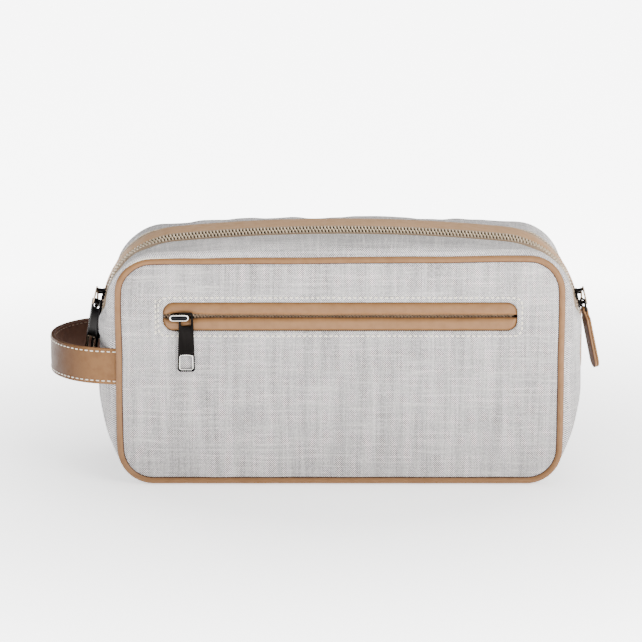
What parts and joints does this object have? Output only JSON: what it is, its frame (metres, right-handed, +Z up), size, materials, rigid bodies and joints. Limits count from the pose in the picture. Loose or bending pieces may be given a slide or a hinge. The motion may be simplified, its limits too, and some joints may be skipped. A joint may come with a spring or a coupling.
{
  "type": "shaving kit bag",
  "caption": "Boxy soft zip bag for shaving and grooming things, with piped panels, a leather-trimmed zip pocket and a strap handle at one end.",
  "frame": {"origin": "centre of the base, on the surface that the bag stands on", "axes": "+X to the right along the bag's length, +Y to the back, +Z up; the pocket faces -Y"},
  "size_m": [0.3307, 0.1003, 0.1494],
  "materials": {
    "outer_fabric": "pale grey chambray weave with fine slubs",
    "foam": "thin padding between the fabric and the lining",
    "lining": "plain woven lining",
    "leather": "smooth natural tan leather, cream stitching",
    "dark_leather": "dark brown lining leather",
    "cord": "cotton cord",
    "zip_tape": "beige woven zip tape",
    "zip_teeth": "beige coil teeth with a soft metallic shine",
    "metal": "dark gunmetal plating, polished"
  },
  "bodies": {
    "bag": {"front_panel": "outer_fabric", "front_foam": "foam", "front_lining": "lining", "back_panel": "outer_fabric", "back_foam": "foam", "back_lining": "lining", "front_piping": "leather", "front_piping_cord": "cord", "back_piping": "leather", "back_piping_cord": "cord", "front_top_gusset": "outer_fabric", "front_top_foam": "foam", "front_top_lining": "lining", "back_top_gusset": "outer_fabric", "back_top_foam": "foam", "back_top_lining": "lining", "base_gusset": "outer_fabric", "base_foam": "foam", "base_lining": "lining", "front_seam_binding": "lining", "back_seam_binding": "lining", "centre_strip": "leather", "strip_backing": "lining", "divider": "lining", "front_zip_tape": "zip_tape", "front_zip_teeth": "zip_teeth", "back_zip_tape": "zip_tape", "back_zip_teeth": "zip_teeth", "pocket_upper_lip": "leather", "pocket_lower_lip": "leather", "pocket_zip_tape": "zip_tape", "pocket_zip_teeth": "zip_teeth", "pocket_bag": "lining", "handle_strap": "leather", "handle_lining": "dark_leather"},
    "pocket_slider": {"pocket_slider": "metal", "pocket_slider_cap": "metal"},
    "pocket_pull": {"pocket_pull": "metal"},
    "front_left_slider": {"front_left_slider": "metal", "front_left_cap": "metal"},
    "front_left_pull": {"front_left_pull": "metal"},
    "front_right_slider": {"front_right_slider": "metal", "front_right_cap": "metal"},
    "front_right_pull": {"front_right_link": "metal", "front_right_tab": "leather"},
    "back_left_slider": {"back_left_slider": "metal", "back_left_cap": "metal"},
    "back_left_pull": {"back_left_pull": "metal"},
    "back_right_slider": {"back_right_slider": "metal", "back_right_cap": "metal"},
    "back_right_pull": {"back_right_link": "metal", "back_right_tab": "leather"}
  },
  "joints": [
    {"name": "pocket_slide", "type": "slide", "parent": "bag", "child": "pocket_slider", "axis": [1, 0, 0], "range_m": [0, 0.19]},
    {"name": "pocket_pull_sway", "type": "hinge", "parent": "pocket_slider", "child": "pocket_pull", "pos_m": [-0.0906, -0.0497, 0.1017], "axis": [0, -1, 0], "range_deg": [-35, 50]},
    {"name": "front_left_slide", "type": "hinge", "parent": "bag", "child": "front_left_slider", "pos_m": [-0.094, -0.0187, 0.096], "axis": [0, 1, 0], "range_deg": [0, 68]},
    {"name": "front_left_pull_swing", "type": "hinge", "parent": "front_left_slider", "child": "front_left_pull", "pos_m": [-0.14479, -0.0187, 0.10619], "axis": [-0.3319, 0.9397, 0.0827], "range_deg": [0, 130]},
    {"name": "front_right_slide", "type": "hinge", "parent": "bag", "child": "front_right_slider", "pos_m": [0.094, -0.0187, 0.096], "axis": [0, -1, 0], "range_deg": [0, 68]},
    {"name": "front_right_pull_swing", "type": "hinge", "parent": "front_right_slider", "child": "front_right_pull", "pos_m": [0.14479, -0.0187, 0.10619], "axis": [0, -1, 0], "range_deg": [0, 130]},
    {"name": "back_left_slide", "type": "hinge", "parent": "bag", "child": "back_left_slider", "pos_m": [-0.094, 0.0187, 0.096], "axis": [0, 1, 0], "range_deg": [0, 68]},
    {"name": "back_left_pull_swing", "type": "hinge", "parent": "back_left_slider", "child": "back_left_pull", "pos_m": [-0.1458, 0.0187, 0.09631], "axis": [0.3416, 0.9397, -0.0179], "range_deg": [0, 20]},
    {"name": "back_right_slide", "type": "hinge", "parent": "bag", "child": "back_right_slider", "pos_m": [0.094, 0.0187, 0.096], "axis": [0, -1, 0], "range_deg": [0, 68]},
    {"name": "back_right_pull_swing", "type": "hinge", "parent": "back_right_slider", "child": "back_right_pull", "pos_m": [0.1458, 0.0187, 0.09631], "axis": [0, -1, 0], "range_deg": [0, 130]}
  ]
}
